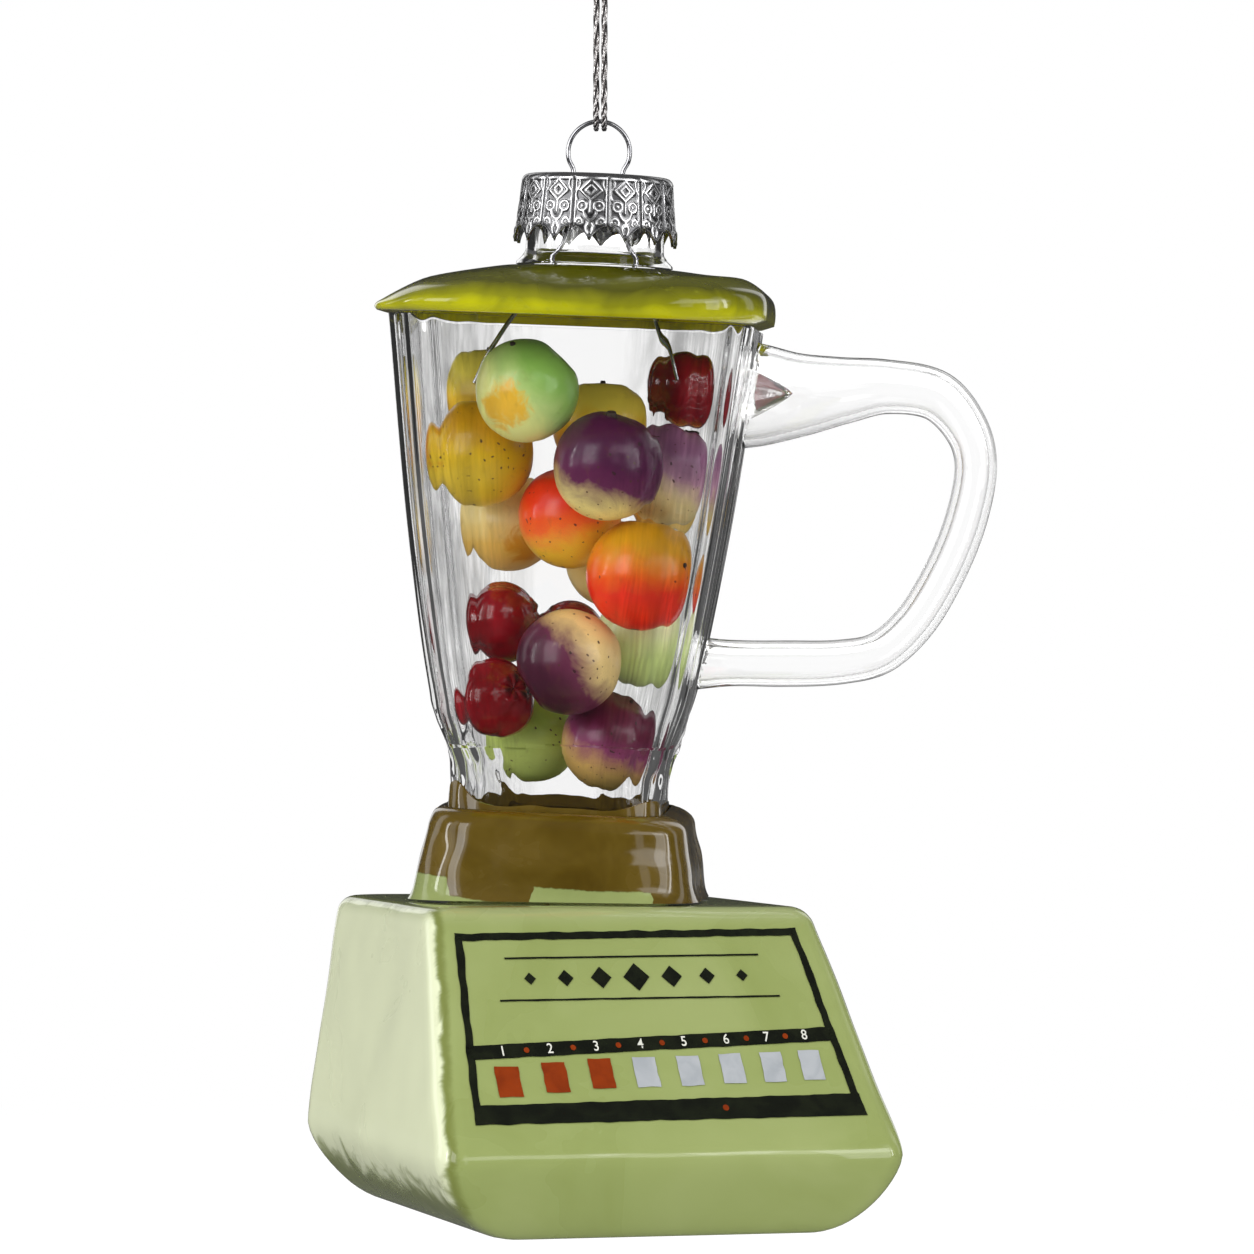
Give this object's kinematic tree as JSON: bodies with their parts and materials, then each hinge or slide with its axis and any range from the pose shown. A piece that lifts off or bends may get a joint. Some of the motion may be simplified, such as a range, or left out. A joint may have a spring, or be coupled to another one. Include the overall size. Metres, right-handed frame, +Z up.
{
  "type": "glass ornament",
  "caption": "Blown-glass tree ornament shaped like a kitchen blender full of fruit, with a stamped crown cap, spring wire hanger and doubled silver cord",
  "frame": {"origin": "where the cord's eye hangs on a hook or branch, at the inside of the eye", "axes": "+Z up along the plumb cord, +X towards the jug's handle, the front of the jug towards -Y"},
  "size_m": [0.0831, 0.0755, 0.1605],
  "materials": {
    "silver_cord": "metallic braid",
    "silver_cap": "stamped thin sheet, bright",
    "bright_wire": "bright spring wire",
    "clear_glass": "clear, wavy, hand blown",
    "olive_glass": "glossy lacquer over blown glass",
    "brown_glass": "glossy lacquer over blown glass",
    "pale_green_glass": "glossy lacquer with a printed panel",
    "green_fruit": "painted, satin",
    "pale_green_fruit": "painted, satin",
    "yellow_fruit": "painted, satin, speckled",
    "cream_fruit": "painted, satin, blotched",
    "orange_fruit": "painted, satin, shaded",
    "purple_fruit": "painted, satin, shaded and speckled",
    "red_fruit": "painted, glossy"
  },
  "bodies": {
    "hang_cord": {"cord_left": "silver_cord", "cord_right": "silver_cord", "cord_knot": "silver_cord"},
    "hanger": {"crown_cap": "silver_cap", "wire_ring": "bright_wire", "wire_leg_left": "bright_wire", "wire_leg_right": "bright_wire"},
    "glass": {"base_shell": "pale_green_glass", "collar": "brown_glass", "jug_shell": "clear_glass", "handle": "clear_glass", "lid_shell": "olive_glass", "neck": "clear_glass", "apple_green_top": "green_fruit", "apple_green_bottom": "green_fruit", "apple_pale_right": "pale_green_fruit", "lemon_back_left": "yellow_fruit", "lemon_back_middle": "yellow_fruit", "quince_left": "yellow_fruit", "apricot_back_right": "yellow_fruit", "pear_cream_left": "cream_fruit", "pear_cream_middle": "cream_fruit", "peach_middle": "orange_fruit", "orange_front": "orange_fruit", "plum_front_upper": "purple_fruit", "plum_front_lower": "purple_fruit", "plum_right": "purple_fruit", "plum_bottom_right": "purple_fruit", "berry_top_right": "red_fruit", "berry_left_upper": "red_fruit", "berry_middle": "red_fruit", "berry_left_lower": "red_fruit"}
  },
  "joints": [
    {"name": "ornament_swing", "type": "hinge", "parent": "hang_cord", "child": "hanger", "pos_m": [0, 0, -0.0244], "axis": [1, 0, 0], "range_deg": [-80, 80]},
    {"name": "cap_pull", "type": "slide", "parent": "hanger", "child": "glass", "axis": [-0.0401, 0.0471, -0.9981], "range_m": [0, 0.01], "deforming": ["wire_leg_left", "wire_leg_right"]}
  ]
}
